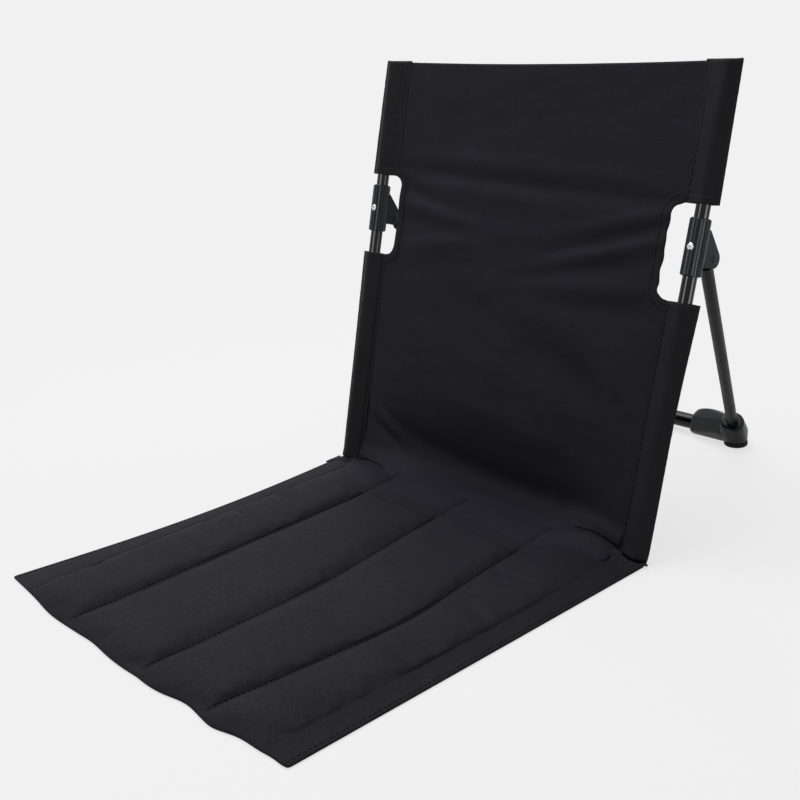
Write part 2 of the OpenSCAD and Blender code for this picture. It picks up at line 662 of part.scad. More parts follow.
left_upright();
right_upright();
upright_top_caps();
upright_bottom_caps();
left_hub();
right_hub();
hub_rivets();
left_pivot_pin();
right_pivot_pin();
back_panel();
left_upper_sleeve();
right_upper_sleeve();
left_lower_sleeve();
right_lower_sleeve();
left_notch_hem();
right_notch_hem();
left_leg();
right_leg();
left_leg_eye();
right_leg_eye();
eye_rivets();
crossbar();
left_foot();
right_foot();
left_foot_pad();
right_foot_pad();
foot_rivets();
seat_top_cloth();
seat_bottom_cloth();
left_outer_foam();
left_inner_foam();
right_inner_foam();
right_outer_foam();
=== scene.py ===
# A legless folding beach chair: quilted mat, cloth back on two enamelled uprights, hinged rear frame.
import math

import bpy
import numpy as np
from mathutils import Matrix, Vector, noise

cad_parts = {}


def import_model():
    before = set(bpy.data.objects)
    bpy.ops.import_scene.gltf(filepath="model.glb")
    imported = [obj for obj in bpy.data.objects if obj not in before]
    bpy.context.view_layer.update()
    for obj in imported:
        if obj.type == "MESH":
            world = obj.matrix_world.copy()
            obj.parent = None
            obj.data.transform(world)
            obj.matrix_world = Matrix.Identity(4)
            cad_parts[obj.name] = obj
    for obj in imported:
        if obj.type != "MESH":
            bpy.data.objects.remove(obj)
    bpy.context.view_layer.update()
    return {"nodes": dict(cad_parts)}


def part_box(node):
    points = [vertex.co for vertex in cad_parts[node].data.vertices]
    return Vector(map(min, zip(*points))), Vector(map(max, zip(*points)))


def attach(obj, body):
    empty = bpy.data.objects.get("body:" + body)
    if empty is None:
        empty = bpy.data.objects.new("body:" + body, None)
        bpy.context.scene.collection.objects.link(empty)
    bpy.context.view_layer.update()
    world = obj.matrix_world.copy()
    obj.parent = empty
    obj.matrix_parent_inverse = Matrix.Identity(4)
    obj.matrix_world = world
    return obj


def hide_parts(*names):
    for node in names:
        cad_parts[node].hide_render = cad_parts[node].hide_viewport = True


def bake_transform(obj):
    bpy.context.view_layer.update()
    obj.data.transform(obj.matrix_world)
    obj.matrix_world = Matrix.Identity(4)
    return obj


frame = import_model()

# Sizes are in millimetres and are turned to metres where a mesh is made
MM = 0.001
RECLINE = math.radians(14.5)
LEAN_SIN = math.sin(RECLINE)
LEAN_COS = math.cos(RECLINE)
# The fold line between mat and back, in the frame's Y
FOLD_Y = 40.46

# The camera stands at the photograph's own place
CAMERA_AT = (717.5, -695.1, 448.8)
CAMERA_TURN = math.radians(48.03)
CAMERA_TILT = math.radians(18.33)
CAMERA_ROLL = math.radians(-3.0)
CAMERA_LENS = 52.75
CAMERA_SENSOR = 36.0

# The cloth back. The uprights lean outwards about the middle of their hubs.
BACK_H = 412.5
UPRIGHT_X = 190.0
HUB_MID = 265.5
SPLAY = math.tan(math.radians(1.2))
SEAM_IN = 18.0
SEAM_X = UPRIGHT_X - SEAM_IN
SLEEVE_OUT = 15.0
SLEEVE_OUT_LOW = 11.0
TUBE_R = 7.05
NOTCH_LOW = 220.0
NOTCH_HIGH = 300.0
NOTCH_IN = 11.0
HEM_R = 20.0
SLEEVE_LOW = 2.2
SLEEVE_TOP = 414.0

# The mat
SEAT_HALF = 196.0
SEAT_LEN = 375.0
SEAT_BOW = 12.5
SEAT_REAR = 9.0
SEAM_H = 2.6
CROWN_H = 8.8
SEAMS = (-165.0, -100.0, 0.0, 100.0, 165.0)

# Width of a foot's outer end that is its cup
CUP_WIDTH = 23.0

# Cells of each cloth's grid: across and along, or round and along
BACK_GRID = (168, 290)
SLEEVE_GRID = (72, 110)
CORNER_GRID = (36, 44)
TAPE_GRID = (28, 120)
# Thickness of the back's cloth, and of the sleeves' and corners'
BACK_T = 0.9
TRIM_T = 0.8

# How far inside its own seam's edge a sleeve is stitched
SLEEVE_SEWN = 3.2

# The tape round a notch: its length, the radius that its turns are measured at, and how far from
# the sleeve's seam its middle and its stitches lie
TAPE_LEN = 107
TAPE_TURN_R = 15.5
TAPE_MIDDLE = 15.6
TAPE_SEWN = 18.2

STITCH_STEP = 4.6
STITCH_LENGTH = 3.5
STITCH_R = 0.42
# How far to the left of a seam's groove its stitches lie
STITCH_BESIDE = 1.8


def srgb(code):
    """Linear colour of an sRGB hex code."""
    parts = [int(code[i:i + 2], 16) / 255 for i in (1, 3, 5)]
    linear = [p / 12.92 if p <= 0.04045 else ((p + 0.055) / 1.055) ** 2.4 for p in parts]
    return (*linear, 1.0)


def hand(side):
    return "left" if side < 0 else "right"


# Helpers for meshes

def deselect():
    bpy.ops.object.select_all(action="DESELECT")


def choose(piece):
    """Makes a piece the only one selected."""
    deselect()
    piece.select_set(True)
    bpy.context.view_layer.objects.active = piece
    return piece


def finish_modifiers(piece):
    choose(piece)
    for modifier in list(piece.modifiers):
        bpy.ops.object.modifier_apply(modifier=modifier.name)


def points_of(piece):
    flat = np.zeros(len(piece.data.vertices) * 3)
    piece.data.vertices.foreach_get("co", flat)
    return flat.reshape(-1, 3)


def set_points(piece, points):
    piece.data.vertices.foreach_set("co", np.asarray(points, float).ravel())
    piece.data.update()


def smooth(piece):
    piece.data.shade_smooth()


def edit_all(piece, action):
    """Runs one edit-mode action on the whole of a piece."""
    choose(piece)
    bpy.ops.object.mode_set(mode="EDIT")
    bpy.ops.mesh.select_all(action="SELECT")
    action()
    bpy.ops.object.mode_set(mode="OBJECT")


def outwards(piece):
    """Turns a closed piece's normals outwards."""
    edit_all(piece, lambda: bpy.ops.mesh.normals_make_consistent(inside=False))


def weld(piece):
    """Joins the two long edges of a grid that was rolled into a tube."""
    edit_all(piece, lambda: bpy.ops.mesh.remove_doubles(threshold=0.02 * MM))


def new_grid(name, cols, rows):
    """A flat unit grid; returns the piece and each point's shares across and along."""
    deselect()
    bpy.ops.mesh.primitive_grid_add(x_subdivisions=cols, y_subdivisions=rows, size=1)
    piece = bpy.context.object
    piece.name = name
    piece.data.name = name
    places = points_of(piece)
    return piece, places[:, 0] + 0.5, places[:, 1] + 0.5


def set_cloth_map(piece, across, along):
    """Gives a piece a UV map in metres of cloth, so that a weave follows the cloth."""
    layer = piece.data.uv_layers.active or piece.data.uv_layers.new(name="cloth")
    corners = np.zeros(len(piece.data.loops), int)
    piece.data.loops.foreach_get("vertex_index", corners)
    pairs = np.stack([across[corners], along[corners]], axis=1) * MM
    layer.data.foreach_set("uv", pairs.ravel())


def thicken(piece, thickness, offset=0.0):
    """Turns a sheet into closed cloth of a real thickness."""
    modifier = piece.modifiers.new("cloth", "SOLIDIFY")
    modifier.thickness = thickness * MM
    modifier.offset = offset
    modifier.use_even_offset = False
    finish_modifiers(piece)


def step_up(value, low, high):
    t = np.clip((value - low) / (high - low), 0, 1)
    return t * t * (3 - 2 * t)


def bump(value, middle, width):
    return np.exp(-((value - middle) / width) ** 2)


def eased(x, knots, values, blur=16.0):
    """Straight runs between a few chosen values, with their corners rounded."""
    shifts = np.linspace(-blur, blur, 9)
    return sum(np.interp(x + shift, knots, values) for shift in shifts) / len(shifts)


def ripple(a, b, long, short, seed):
    """Smooth seeded noise from -1 to 1, longer in a than in b."""
    values = [noise.noise(Vector((p / long, q / short, seed))) for p, q in zip(a, b)]
    return np.array(values)


# Places on the back

def splayed(up):
    """How far an upright stands outside its place at the hub, at a height up the back."""
    return (up - HUB_MID) * SPLAY


def seam_at(up):
    return SEAM_X + splayed(up)


def back_place(x, depth, up):
    """Points of the back's frame in metres: across, behind its plane and up its slope."""
    y = FOLD_Y + depth * LEAN_COS + up * LEAN_SIN
    z = -depth * LEAN_SIN + up * LEAN_COS
    return np.stack([x, y, z], axis=1) * MM


# Folds of the cloth back: middle across and up, half length, half width, turn in degrees, and
# depth behind the plane, all lengths in mm
BACK_FOLDS = (
    (0, 303, 200, 7, -1.5, 2.4),
    (-8, 318, 180, 8, -1.5, -1.5),
    (-60, 290, 120, 7, -2, -1.3),
    (126, 282, 60, 6, 13, -2.2),
    (122, 268, 70, 6, 15, 2.6),
    (112, 254, 80, 7, 15, -2.6),
    (104, 239, 86, 8, 12, 2.2),
    (108, 221, 82, 9, 6, -2.0),
    (116, 204, 70, 9, 2, 1.8),
    (-128, 284, 52, 7, -14, 2.4),
    (-122, 271, 60, 7, -9, -2.4),
    (-112, 254, 84, 8, -4, 2.0),
    (-104, 238, 92, 8, 9, -1.8),
    (-90, 218, 80, 11, 12, 1.5),
    (70, 178, 110, 17, -17, -2.4),
    (60, 150, 110, 13, -19, 2.0),
    (20, 124, 120, 12, -12, -1.6),
    (-76, 176, 90, 24, 10, 1.5),
    (20, 366, 150, 20, 3, 1.2),
    (-110, 378, 50, 12, -16, -0.9),
    (0, 86, 130, 15, -6, -1.6),
    (-143, 42, 26, 3.4, -30, 4.2),
    (-139, 51, 24, 4.5, -32, -3.4),
    (-136, 60, 20, 4, -34, 1.6),
)


def back_depth(x, up):
    """Depth of the cloth behind the back's plane, above its foot."""
    depth = np.zeros_like(x)
    for middle_x, middle_up, length, width, turn, deep in BACK_FOLDS:
        angle = math.radians(turn)
        dx = x - middle_x
        dup = up - middle_up
        u = (dx * math.cos(angle) + dup * math.sin(angle)) / length
        v = (dup * math.cos(angle) - dx * math.sin(angle)) / width
        depth += deep * np.exp(-u * u - v * v)
    depth += 0.6 * ripple(x, up, 42, 19, 3.0) + 0.22 * ripple(x, up, 17, 7, 7.0)
    near_seam = np.exp(-(seam_at(up) - np.abs(x)) / 16)
    depth += 0.7 * near_seam * ripple(x, up, 34, 6.5, 11.0)
    return depth * (1 - np.clip(np.abs(x) / (seam_at(up) + 1), 0, 1) ** 8)


def camera():
    turn = CAMERA_TURN
    tilt = CAMERA_TILT
    ahead = Vector((-math.sin(turn) * math.cos(tilt), math.cos(turn) * math.cos(tilt), -math.sin(tilt)))
    side = Vector((math.cos(turn), math.sin(turn), 0))
    up = side.cross(ahead)
    right = side * math.cos(CAMERA_ROLL) + up * math.sin(CAMERA_ROLL)
    above = up * math.cos(CAMERA_ROLL) - side * math.sin(CAMERA_ROLL)
    data = bpy.data.cameras.new("camera")
    data.lens = CAMERA_LENS
    data.sensor_width = CAMERA_SENSOR
    data.clip_start = 0.05
    placed = bpy.data.objects.new("camera", data)
    bpy.context.scene.collection.objects.link(placed)
    turned = Matrix((right, above, -ahead)).transposed().to_4x4()
    placed.matrix_world = Matrix.Translation(Vector(CAMERA_AT) * MM) @ turned
    bpy.context.scene.camera = placed


def add(tree, kind, settings=None, links=None):
    """Adds a node with its settings and its links: inputs by name or number, from sockets."""
    made = tree.nodes.new(kind)
    for key, value in (settings or {}).items():
        if isinstance(key, str) and hasattr(made, key):
            setattr(made, key, value)
        else:
            made.inputs[key].default_value = value
    for key, source in (links or {}).items():
        tree.links.new(source, made.inputs[key])
    return made


def new_material(name):
    """A material with its node tree, its Principled shader and its output linked."""
    material = bpy.data.materials.new(name)
    material.use_nodes = True
    tree = material.node_tree
    tree.nodes.clear()
    shader = add(tree, "ShaderNodeBsdfPrincipled")
    add(tree, "ShaderNodeOutputMaterial", links={"Surface": shader.outputs[0]})
    return material, tree, shader


BACKGROUND = srgb("#f1f1f1")


def shown_rays(tree):
    """1 for the rays that see the plain background: the camera's, reflected and refracted ones."""
    path = add(tree, "ShaderNodeLightPath")
    direct = add(tree, "ShaderNodeMath", {"operation": "MAXIMUM"},
                 {0: path.outputs["Is Camera Ray"], 1: path.outputs["Is Transmission Ray"]})
    return add(tree, "ShaderNodeMath", {"operation": "MAXIMUM"},
               {0: direct.outputs[0], 1: path.outputs["Is Glossy Ray"]}).outputs[0]


def world():
    made = bpy.data.worlds.new("studio")
    bpy.context.scene.world = made
    made.use_nodes = True
    tree = made.node_tree
    tree.nodes.clear()
    lit = add(tree, "ShaderNodeBackground", {"Color": srgb("#ffffff"), "Strength": 0.4})
    shown = add(tree, "ShaderNodeBackground", {"Color": BACKGROUND, "Strength": 1.0})
    mixed = add(tree, "ShaderNodeMixShader",
                links={0: shown_rays(tree), 1: lit.outputs[0], 2: shown.outputs[0]})
    add(tree, "ShaderNodeOutputWorld", links={"Surface": mixed.outputs[0]})


def lamp(name, at, aim, size, watts):
    data = bpy.data.lights.new(name, "AREA")
    data.shape = "RECTANGLE"
    data.size, data.size_y = size
    data.energy = watts
    placed = bpy.data.objects.new(name, data)
    bpy.context.scene.collection.objects.link(placed)
    placed.location = at
    placed.rotation_mode = "QUATERNION"
    placed.rotation_quaternion = (Vector(aim) - Vector(at)).to_track_quat("-Z", "Y")
    return placed


# Distances in metres between which the floor's glow grows, and its share at the near one
GLOW_NEAR = 0.45
GLOW_FAR = 1.5
GLOW_SHARE = 0.78


def floor():
    """Pale paper that shows the background's colour: fully so away from the object, and mixed
    with the lit paper near it, which keeps the object's shadow."""
    deselect()
    bpy.ops.mesh.primitive_plane_add(size=60, location=(0, 0, 0))
    sheet = bpy.context.object
    sheet.name = "floor"
    material, tree, shader = new_material("matt_paper_floor")
    shader.inputs["Base Color"].default_value = srgb("#dedede")
    shader.inputs["Roughness"].default_value = 0.9
    glow = add(tree, "ShaderNodeEmission", {"Color": BACKGROUND, "Strength": 1.0})
    place = add(tree, "ShaderNodeTexCoord")
    away = add(tree, "ShaderNodeVectorMath", {"operation": "LENGTH"}, {0: place.outputs["Object"]})
    plain = add(tree, "ShaderNodeMapRange",
                {"From Min": GLOW_NEAR, "From Max": GLOW_FAR, "To Min": GLOW_SHARE, "To Max": 1.0},
                {"Value": away.outputs["Value"]})
    share = add(tree, "ShaderNodeMath", {"operation": "MULTIPLY"},
                {0: shown_rays(tree), 1: plain.outputs["Result"]})
    mixed = add(tree, "ShaderNodeMixShader",
                links={0: share.outputs[0], 1: shader.outputs[0], 2: glow.outputs[0]})
    output = next(n for n in tree.nodes if n.type == "OUTPUT_MATERIAL")
    tree.links.new(mixed.outputs[0], output.inputs["Surface"])
    sheet.data.materials.append(material)


def studio():
    """Pale floor, a large soft box overhead, a weak fill in front, and two boxes that light the
    uprights and hubs alone and draw the bright lines down them."""
    world()
    lamp("overhead", (-0.6, 0.2, 2.3), (0, 0, 0.1), (2.2, 2.0), 58)
    lamp("front_fill", (-0.35, -2.4, 0.85), (0, 0, 0.25), (0.3, 1.5), 6)
    strips = (lamp("front_strip", (-0.15, -2.0, 0.6), (-0.15, 0, 0.4), (1.0, 1.0), 26),
              lamp("right_strip", (1.3, 0.2, 0.26), (0, 0.2, 0.26), (0.6, 0.5), 8))
    glossy = bpy.data.collections.new("glossy_parts")
    for node in ("left_upright", "right_upright", "left_hub", "right_hub"):
        glossy.objects.link(frame["nodes"][node])
    for strip in strips:
        strip.light_linking.receiver_collection = glossy
    floor()


def speckle(tree, place, size, detail, rough=0.5):
    """Noise with patches of a size in mm."""
    made = add(tree, "ShaderNodeTexNoise",
               {"Scale": 1 / (size * MM), "Detail": detail, "Roughness": rough}, {"Vector": place})
    return made.outputs["Fac"]


def set_gloss(tree, shader, patches, low, high):
    """Lets the roughness run from low to high over the middle of the patches."""
    made = add(tree, "ShaderNodeMapRange",
               {"From Min": 0.3, "From Max": 0.7, "To Min": low, "To Max": high}, {"Value": patches})
    tree.links.new(made.outputs["Result"], shader.inputs["Roughness"])


def set_relief(tree, shader, height, strength, deep, under=None):
    """Puts a relief of a depth in mm on the surface, over another one where there is one."""
    links = {"Height": height}
    if under:
        links["Normal"] = under
    made = add(tree, "ShaderNodeBump", {"Strength": strength, "Distance": deep * MM}, links)
    tree.links.new(made.outputs[0], shader.inputs["Normal"])
    return made.outputs[0]


def woven(name, thread, ground, pale, thread_mm=0.8, rough=0.7, source="UV"):
    """Coated polyester in plain weave: matt threads and faint cloudy wear. The threads are drawn
    coarser than real ones, so that they show."""
    material, tree, shader = new_material(name)
    place = add(tree, "ShaderNodeTexCoord")
    solid = place.outputs["Object"]
    threads = add(tree, "ShaderNodeSeparateXYZ", links={0: place.outputs[source]})
    waves = []
    for axis in ("X", "Y"):
        scaled = add(tree, "ShaderNodeMath", {"operation": "MULTIPLY", 1: math.pi / (thread_mm * MM)},
                     {0: threads.outputs[axis]})
        waves.append(add(tree, "ShaderNodeMath", {"operation": "SINE"}, {0: scaled.outputs[0]}))
    weave = add(tree, "ShaderNodeMath", {"operation": "MULTIPLY"},
                {0: waves[0].outputs[0], 1: waves[1].outputs[0]})
    tone = add(tree, "ShaderNodeMapRange", {"From Min": 0.36, "From Max": 0.66},
               {"Value": speckle(tree, solid, 60, 6.0, 0.62)})
    base = add(tree, "ShaderNodeMix", {"data_type": "RGBA", 6: srgb(ground), 7: srgb(pale)},
               {0: tone.outputs["Result"]})
    grain = add(tree, "ShaderNodeMapRange",
                {"From Min": -1.0, "From Max": 1.0, "To Min": 0.0, "To Max": 0.5},
                {"Value": weave.outputs[0]})
    coloured = add(tree, "ShaderNodeMix", {"data_type": "RGBA", 7: srgb(thread)},
                   {0: grain.outputs["Result"], 6: base.outputs[2]})
    tree.links.new(coloured.outputs[2], shader.inputs["Base Color"])
    set_gloss(tree, shader, speckle(tree, solid, 2.2, 2.0), rough - 0.08, rough + 0.08)
    shader.inputs["Specular IOR Level"].default_value = 0.08
    fine = set_relief(tree, shader, weave.outputs[0], 0.3, 0.12)
    set_relief(tree, shader, speckle(tree, solid, 8, 4.0, 0.6), 0.45, 0.6, fine)
    return material


def enamel(name, colour, rough, shine):
    """Baked enamel on steel tube: a dark even film with slight orange peel that gives long, bright
    streaks down the tube."""
    material, tree, shader = new_material(name)
    solid = add(tree, "ShaderNodeTexCoord").outputs["Object"]
    shader.inputs["Base Color"].default_value = srgb(colour)
    shader.inputs["Specular IOR Level"].default_value = shine
    set_gloss(tree, shader, speckle(tree, solid, 14, 4.0), rough - 0.04, rough + 0.08)
    set_relief(tree, shader, speckle(tree, solid, 1.6, 2.0), 0.12, 0.05)
    return material


def moulded(name, colour, pale, rough, shine, grain_mm=0.5, strength=0.2):
    """Moulded plastic or rubber: fine spark-eroded grain and slightly paler, worn patches."""
    material, tree, shader = new_material(name)
    solid = add(tree, "ShaderNodeTexCoord").outputs["Object"]
    patches = speckle(tree, solid, 11, 4.0, 0.6)
    tone = add(tree, "ShaderNodeMapRange", {"From Min": 0.4, "From Max": 0.7}, {"Value": patches})
    base = add(tree, "ShaderNodeMix", {"data_type": "RGBA", 6: srgb(colour), 7: srgb(pale)},
               {0: tone.outputs["Result"]})
    tree.links.new(base.outputs[2], shader.inputs["Base Color"])
    shader.inputs["Specular IOR Level"].default_value = shine
    set_gloss(tree, shader, patches, rough - 0.05, rough + 0.08)
    set_relief(tree, shader, speckle(tree, solid, grain_mm, 2.0), strength, 0.06)
    return material


def plated(name, colour, rough):
    """Plated or blackened steel: turned marks and small stains in the film."""
    material, tree, shader = new_material(name)
    stains = speckle(tree, add(tree, "ShaderNodeTexCoord").outputs["Object"], 1.2, 3.0)
    shader.inputs["Base Color"].default_value = srgb(colour)
    shader.inputs["Metallic"].default_value = 1.0
    set_gloss(tree, shader, stains, rough - 0.06, rough + 0.1)
    set_relief(tree, shader, stains, 0.15, 0.04)
    return material


def finishes():
    return {
        "back": woven("coated_polyester_back", "#24232c", "#17161c", "#1c1b22"),
        "sleeve": woven("coated_polyester_sleeve", "#242426", "#18181a", "#1c1c1e"),
        # Painted light: a paler copy of the mat's cloth, put on the left hem to paint the light that it
        # catches
        "hem": woven("polyester_hem_painted_light", "#27272a", "#1a1a1d", "#1f1f22"),
        # Painted shade: a darker copy of the mat's cloth, put on the right hem and the corner cloths to
        # paint the shade there
        "hem_painted_shade": woven("polyester_hem_painted_shade", "#1d1c22", "#121217", "#17161b"),
        "seat": woven("coated_polyester_mat", "#212028", "#15141a", "#1a191f"),
        # The thread is real, but it is drawn near black, darker than the cloth, so that the stitches
        # also paint the shade down the seams' grooves
        "thread": woven("polyester_thread_darkened_as_seam_shade", "#0f0f12", "#08080a", "#0b0b0d", 0.5, 0.6, "Object"),
        "upright": enamel("gloss_black_enamel", "#050506", 0.12, 0.22),
        "leg": enamel("satin_graphite_enamel", "#0f1011", 0.36, 0.1),
        "hub": moulded("moulded_nylon_slate", "#0d0f13", "#111418", 0.28, 0.13),
        "foot": moulded("moulded_nylon_blue_black", "#0b0d11", "#0f1216", 0.24, 0.2),
        "eye": moulded("moulded_nylon_black", "#0e0f12", "#131518", 0.38, 0.15),
        "plug": moulded("polyethylene_plug", "#1a1b1e", "#222326", 0.45, 0.3),
        "pad": moulded("moulded_rubber", "#1c1d1f", "#242527", 0.75, 0.15, 0.4, 0.4),
        "rivet": plated("nickel_plated_steel", "#dcdcda", 0.22),
        "pin": plated("blackened_steel", "#2b2c2f", 0.35),
    }


NODE_FINISHES = {
    "left_upright": "upright", "right_upright": "upright", "upright_top_caps": "plug",
    "upright_bottom_caps": "plug", "left_hub": "hub", "right_hub": "hub", "hub_rivets": "rivet",
    "left_pivot_pin": "pin", "right_pivot_pin": "pin", "left_leg": "leg", "right_leg": "leg",
    "left_leg_eye": "eye", "right_leg_eye": "eye", "eye_rivets": "pin", "crossbar": "upright",
    "left_foot": "foot", "right_foot": "foot", "left_foot_pad": "pad", "right_foot_pad": "pad",
    "foot_rivets": "pin",
}


def dress_nodes(finish):
    for node, name in NODE_FINISHES.items():
        slots = frame["nodes"][node].data.materials
        slots.clear()
        slots.append(finish[name])


# The cloth back. Its foot lies on the mat's rear edge, rises in a ramp to a valley behind the
# back's plane and comes forward again to the plane. Each row of a table goes from left to right.
FOOT_X = (-172, -155, -125, -95, -50, 0, 45, 85, 115, 140, 172)
# Where the ramp begins, in front of the fold line
RAMP_AHEAD = (1, 2, 8, 14, 13, 12, 13, 14, 10, 4, 1)
# The crease that shuts the mat's corners off from the back: its height up the back, and depth
CREASE_UP = (3, 5, 6, 4, 3, 3, 3, 5, 10.5, 11.5, 6)
CREASE_DEEP = (3, 4, 4, 0.6, 0, 0, 0, 0.6, 3.5, 4.5, 4)
# The heel, where the foot turns up: its height up the back, and its depth behind the plane
HEEL_UP = (26, 26, 23, 19, 15, 12, 11, 13, 16, 16, 12)
HEEL_DEEP = (0.2, 0.8, 5, 15, 23, 26, 26, 20, 9, 2.5, 0.2)
# The valley, where the foot begins to come forward again
VALLEY_UP = (56, 52, 46, 39, 32, 27, 25, 27, 30, 30, 26)
VALLEY_DEEP = (0.6, 2, 9, 19, 26, 28, 28, 22, 12, 5, 0.6)
FOOT_RUN = 46.0
FOOT_SUNK = 1.1
SHOULDER_RUN = 17.0
SHOULDER_SHARE = 0.46
VALLEY_RUN = 60.0
# Shares of the grid's rows at which the cloth passes each stop of its way up
STOP_SHARES = (0, 0.12, 0.25, 0.31, 0.37, 0.48, 1)


def foot_middle(x):
    """1 where the back's foot lies on the mat, nought at its two corners."""
    return np.clip(1 - (np.abs(x) / SEAM_X) ** 6, 0, 1)


def foot_low(x):
    """How far in front of the fold line the foot comes up out of the mat."""
    return eased(x, FOOT_X, RAMP_AHEAD) + 12 + (FOOT_RUN - 12) * foot_middle(x)


def foot_share(x, y):
    """0 where the mat's own cloth shows, 1 where the foot covers it."""
    low = -foot_low(x)
    return step_up(y, low, low + FOOT_RUN)


# The mat

# How far the mat's seams have slipped to the right: places along, and the slip of each seam there
SLIP_Y = (-390, -340, -200, -100, 0)
SLIP_X = (-196, -165, -100, 0, 100, 165, 196)
SLIPS = (
    (0, 8, 18, 26, 4, 4, 0),
    (0, 7, 17, 26, 9, 6, 0),
    (0, 0, 11, 22, 21, 8, 0),
    (0, 0, 6, 4, 5, 8, 0),
    (0, 0, 2, -6, -3, 0, 0),
)


def seam_shift(x, y):
    """How far the mat's cloth has slipped to the right at an unslipped place."""
    slip = np.zeros_like(x)
    for k, row in enumerate(SLIPS):
        near = eased(y, SLIP_Y, np.eye(len(SLIP_Y))[k], 40.0)
        slip = slip + near * np.interp(x, SLIP_X, row)
    return slip


def left_waist(x, y):
    """How far the left hem is drawn in between its two corners."""
    along = np.clip(-y / SEAT_LEN, 0, 1)
    return 13 * np.sin(np.pi * along) * step_up(-x, 150, SEAT_HALF)


# Where the front edge leaves its even bow: middle across, half width, and how far it is drawn in
FRONT_TUCKS = ((72, 24, 4.2), (116, 13, -2.4), (142, 14, 1.6), (192, 12, -2.5), (-62, 20, 2.2),
               (-122, 24, -2.4), (2, 12, 0.8))


def mat_front(x):
    front = -SEAT_LEN - SEAT_BOW * (1 - (x / SEAT_HALF) ** 2)
    return front + sum(deep * bump(x, middle, width) for middle, width, deep in FRONT_TUCKS)


def channel_fill(x):
    """Share of a channel's crown at x, nought at its two seams."""
    fill = np.zeros_like(x)
    for left, right in zip(SEAMS[:-1], SEAMS[1:]):
        u = np.clip((x - left) / (right - left), 0, 1)
        fullness = 0.3 + 0.4 * (right == SEAMS[-1]) * step_up(u, 0.4, 0.8)
        fill = np.maximum(fill, (4 * u * (1 - u)) ** fullness)
    return fill


def mat_height(x, y):
    """Height of the mat's upper face over the unslipped place x, y from the fold line."""
    front = np.sin(np.pi / 2 * np.clip((y - mat_front(x)) / 26, 0, 1))
    fold = 1.4 * step_up(-x, SEAMS[-1] + 0.5, SEAMS[-1] + 4) * (1 - step_up(-x, 184, SEAT_HALF))
    drawn = 0.9 * sum(bump(x, seam, 1.4) for seam in SEAMS[:-1])
    return SEAM_H + ((CROWN_H - SEAM_H) * channel_fill(x) + fold - drawn) * front


# The simulation's grid: its columns fall on the mat's seams, with a close one at each side. No
# point moves further than the cap, the underside lies at one height, and the rear stays still.
MAT_STEP = 4.7
SEAM_SIDE = 1.9
MAT_ROWS = 82
MAT_CAP = 1.4
MAT_UNDER = 0.15
MAT_STILL = 60
MAT_FRAMES = 20


def inflate(piece, still):
    """Blows the mat's channels up by cloth simulation. The still points are pinned."""
    before = points_of(piece)
    pinned = piece.vertex_groups.new(name="sewn")
    for index in np.nonzero(still)[0]:
        pinned.add([int(index)], 1.0, "REPLACE")
    modifier = piece.modifiers.new("blown", "CLOTH")
    settings = modifier.settings
    settings.vertex_group_mass = "sewn"
    settings.quality = 5
    settings.use_pressure = True
    settings.uniform_pressure_force = 4
    settings.shrink_min = -0.02
    settings.tension_stiffness = 15
    settings.compression_stiffness = 15
    settings.shear_stiffness = 5
    settings.bending_stiffness = 0.3
    settings.effector_weights.gravity = 0
    modifier.point_cache.frame_end = MAT_FRAMES
    for step in range(1, MAT_FRAMES + 1):
        bpy.context.scene.frame_set(step)
    finish_modifiers(piece)
    bpy.context.scene.frame_set(1)
    moved = points_of(piece) - before
    reach = np.linalg.norm(moved, axis=1) / MM
    moved *= (np.minimum(reach, MAT_CAP) / np.maximum(reach, 1e-6))[:, None]
    set_points(piece, before + moved)
    piece.vertex_groups.clear()


def mat_columns():
    """Places of the grid's columns across the mat."""
    edges = [-SEAT_HALF]
    for seam in SEAMS:
        edges += [seam - SEAM_SIDE, seam, seam + SEAM_SIDE]
    edges.append(SEAT_HALF)
    places = [edges[0]]
    for left, right in zip(edges[:-1], edges[1:]):
        count = max(1, round((right - left) / MAT_STEP))
        places += [left + (right - left) * k / count for k in range(1, count + 1)]
    return places


def mat(finish):
    columns = mat_columns()
    piece, across, along = new_grid("seat_mat", len(columns) - 1, MAT_ROWS)
    x = np.interp(across * (len(columns) - 1), range(len(columns)), columns)
    front = mat_front(x)
    rear = SEAT_REAR - 7 * step_up(np.abs(x), 164, 178)
    y = front + (-rear - front) * along
    top = mat_height(x, y) - FOOT_SUNK * foot_share(x, y)
    shifted = x + seam_shift(x, y) + left_waist(x, y)
    set_points(piece, np.stack([shifted, y + FOLD_Y, top], axis=1) * MM)
    set_cloth_map(piece, x, y)
    upper = len(x)
    edit_all(piece, lambda: bpy.ops.mesh.extrude_region_move(
        TRANSFORM_OT_translate={"value": (0, 0, -2 * MM)}))
    places = points_of(piece)
    places[upper:, 2] = MAT_UNDER * MM
    set_points(piece, places)
    outwards(piece)
    seam_gap = np.min([np.abs(x - seam) for seam in SEAMS], axis=0)
    edge_gap = np.minimum(SEAT_HALF - np.abs(x), y - front)
    held = (seam_gap < 1) | (edge_gap < 1) | (y > -MAT_STILL) | (np.abs(x) > SEAMS[-1])
    still = np.ones(len(places), bool)
    still[:upper] = held
    inflate(piece, still)
    # The hems take painted tones: a paler copy of the cloth on the left as painted light, a darker copy
    # on the right as painted shade
    for name in ("seat", "hem", "hem_painted_shade"):
        piece.data.materials.append(finish[name])
    finer = piece.modifiers.new("finer", "SUBSURF")
    finer.levels = 1
    finish_modifiers(piece)
    hem_faces(piece)
    smooth(piece)
    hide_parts("seat_top_cloth", "seat_bottom_cloth", "left_outer_foam", "left_inner_foam",
                "right_inner_foam", "right_outer_foam")
    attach(piece, "seat")
    return piece


